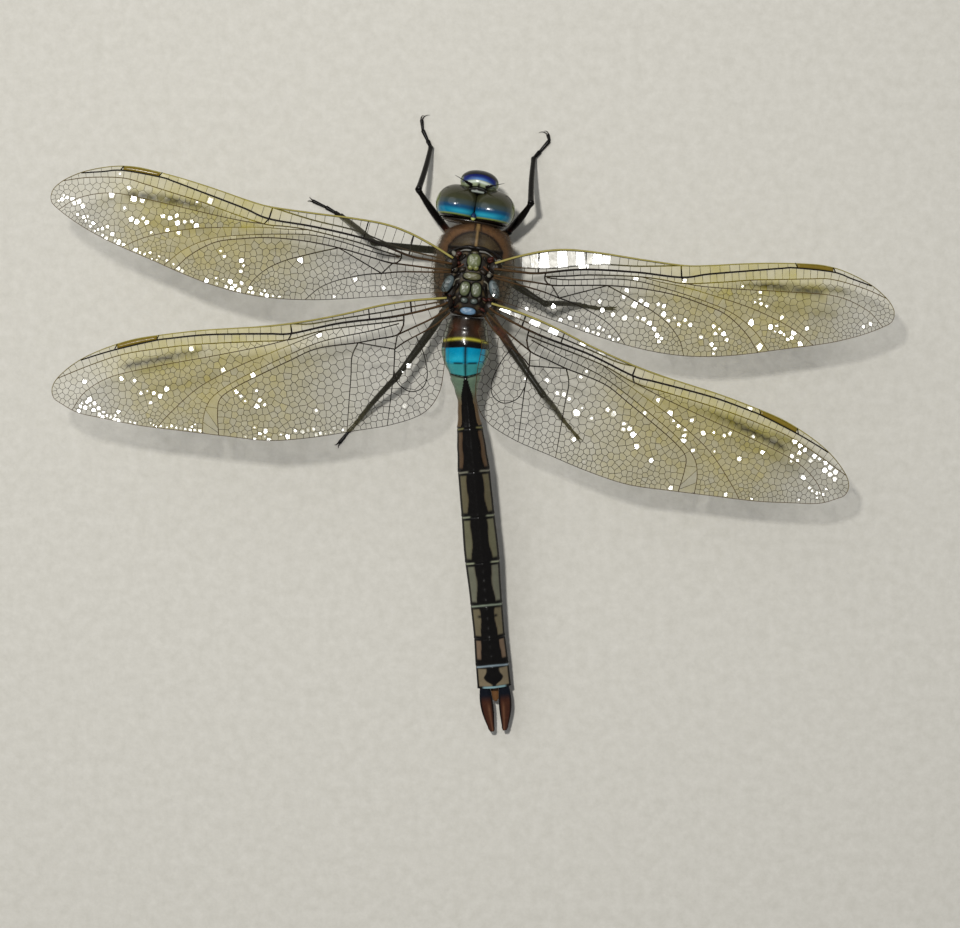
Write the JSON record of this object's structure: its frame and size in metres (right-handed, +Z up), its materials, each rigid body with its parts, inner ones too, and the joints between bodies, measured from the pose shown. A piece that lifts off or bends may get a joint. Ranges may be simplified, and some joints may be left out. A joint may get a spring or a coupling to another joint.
{
  "type": "dragonfly",
  "caption": "Life-size still model of a male lesser emperor dragonfly resting with its wings spread, a blue saddle behind the thorax and amber-tinted wings.",
  "frame": {"origin": "on the floor under the middle of the whole insect's bounding box", "axes": "+Z up from the floor, the head towards -Y, the insect's left wings towards +X"},
  "size_m": [0.103, 0.0778, 0.0154],
  "materials": {
    "head_brown": "satin shell",
    "mouth_green": "satin shell",
    "face_blue": "glossy, slightly metallic",
    "eye": "glossy, finely faceted",
    "thorax_brown": "satin with fine short hair",
    "back_plate_green": "satin shell",
    "abdomen_dark": "glossy shell",
    "abdomen_blue": "glossy shell",
    "appendage_brown": "glossy shell",
    "black_shell": "glossy shell",
    "wing": "clear film with dark veins and an amber tint"
  },
  "bodies": {
    "root": {"head": "head_brown", "neck": "head_brown", "prothorax": "head_brown", "mouthparts": "mouth_green", "frons": "face_blue", "eye_left": "eye", "eye_right": "eye", "thorax": "thorax_brown", "mesonotum": "back_plate_green", "metanotum": "back_plate_green", "abdomen_s1": "abdomen_dark", "abdomen_s3": "abdomen_dark", "abdomen_s4": "abdomen_dark", "abdomen_s5": "abdomen_dark", "abdomen_s6": "abdomen_dark", "abdomen_s7": "abdomen_dark", "abdomen_s8": "abdomen_dark", "abdomen_s9": "abdomen_dark", "abdomen_s10": "abdomen_dark", "abdomen_s2": "abdomen_blue", "cercus_left": "appendage_brown", "cercus_right": "appendage_brown", "epiproct": "appendage_brown", "antenna_left": "black_shell", "antenna_right": "black_shell", "coxa_fore_left": "black_shell", "femur_fore_left": "black_shell", "tibia_fore_left": "black_shell", "tarsus_fore_left": "black_shell", "coxa_fore_right": "black_shell", "femur_fore_right": "black_shell", "tibia_fore_right": "black_shell", "tarsus_fore_right": "black_shell", "coxa_mid_left": "black_shell", "femur_mid_left": "black_shell", "tibia_mid_left": "black_shell", "tarsus_mid_left": "black_shell", "coxa_mid_right": "black_shell", "femur_mid_right": "black_shell", "tibia_mid_right": "black_shell", "tarsus_mid_right": "black_shell", "coxa_hind_left": "black_shell", "femur_hind_left": "black_shell", "tibia_hind_left": "black_shell", "tarsus_hind_left": "black_shell", "coxa_hind_right": "black_shell", "femur_hind_right": "black_shell", "tibia_hind_right": "black_shell", "tarsus_hind_right": "black_shell", "forewing_left": "wing", "forewing_right": "wing", "hindwing_left": "wing", "hindwing_right": "wing"}
  },
  "joints": []
}
